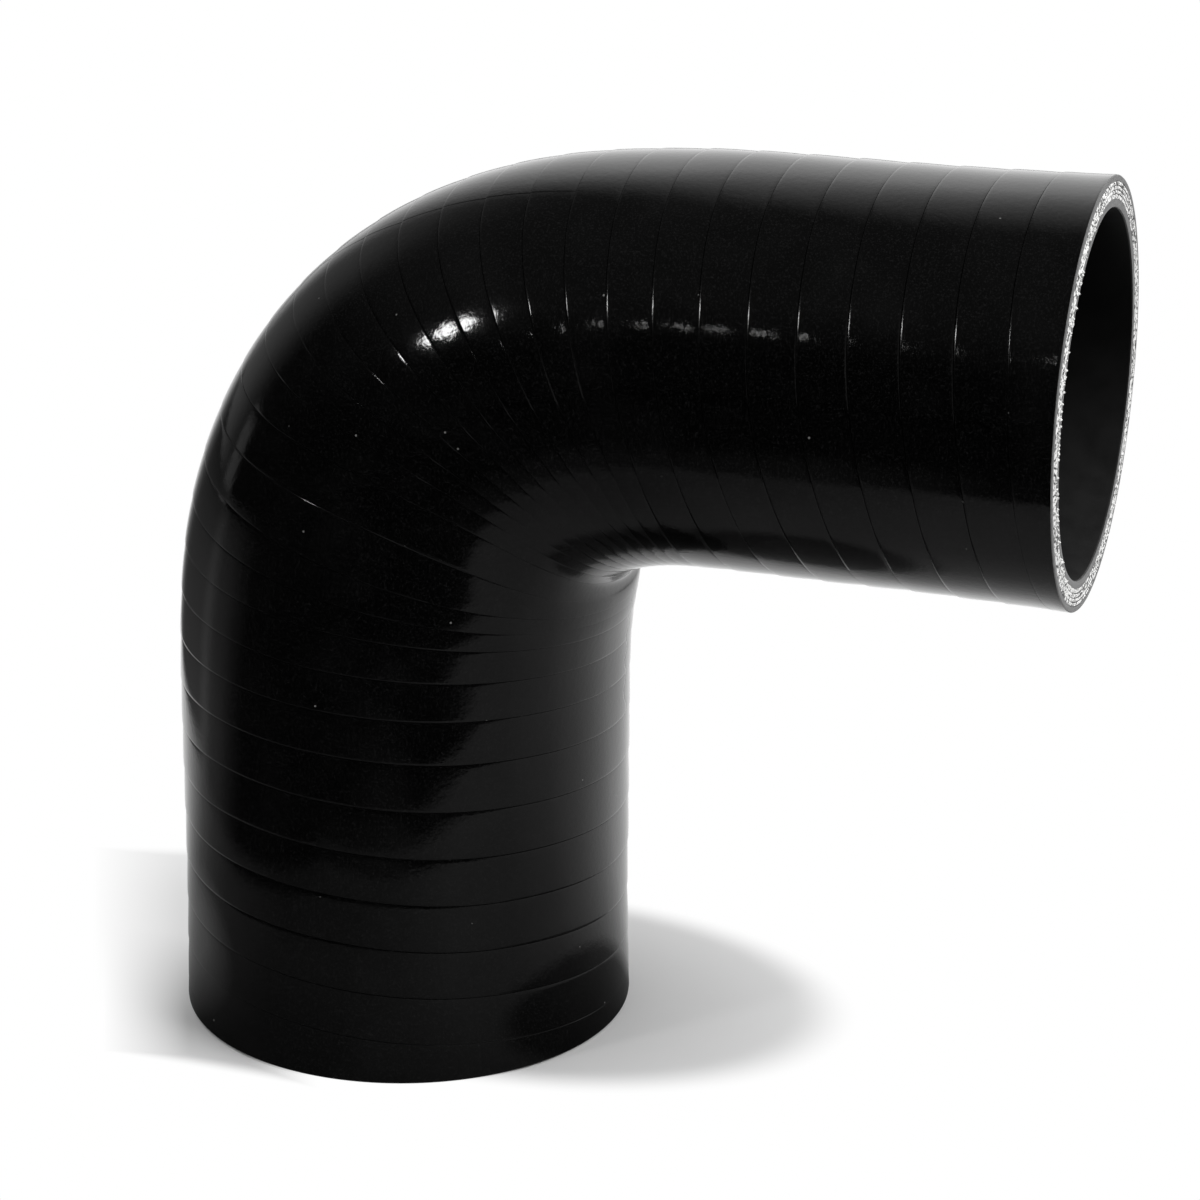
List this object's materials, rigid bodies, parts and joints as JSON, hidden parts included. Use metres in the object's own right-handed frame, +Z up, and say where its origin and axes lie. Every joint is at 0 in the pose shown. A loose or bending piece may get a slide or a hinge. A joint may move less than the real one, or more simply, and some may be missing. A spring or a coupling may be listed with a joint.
{
  "type": "silicone elbow hose",
  "caption": "Black silicone right-angle reducing elbow hose, tape-wrapped outside and smooth inside, open at both trimmed ends.",
  "frame": {"origin": "middle of the bounding box's bottom face, on the floor that the large end stands on", "axes": "+Z up along the large leg, +X out of the small end, Y across the plane that the bend lies in"},
  "size_m": [0.1726, 0.0868, 0.1709],
  "materials": {
    "silicone": "glossy"
  },
  "bodies": {
    "root": {"elbow_hose": "silicone"}
  },
  "joints": []
}
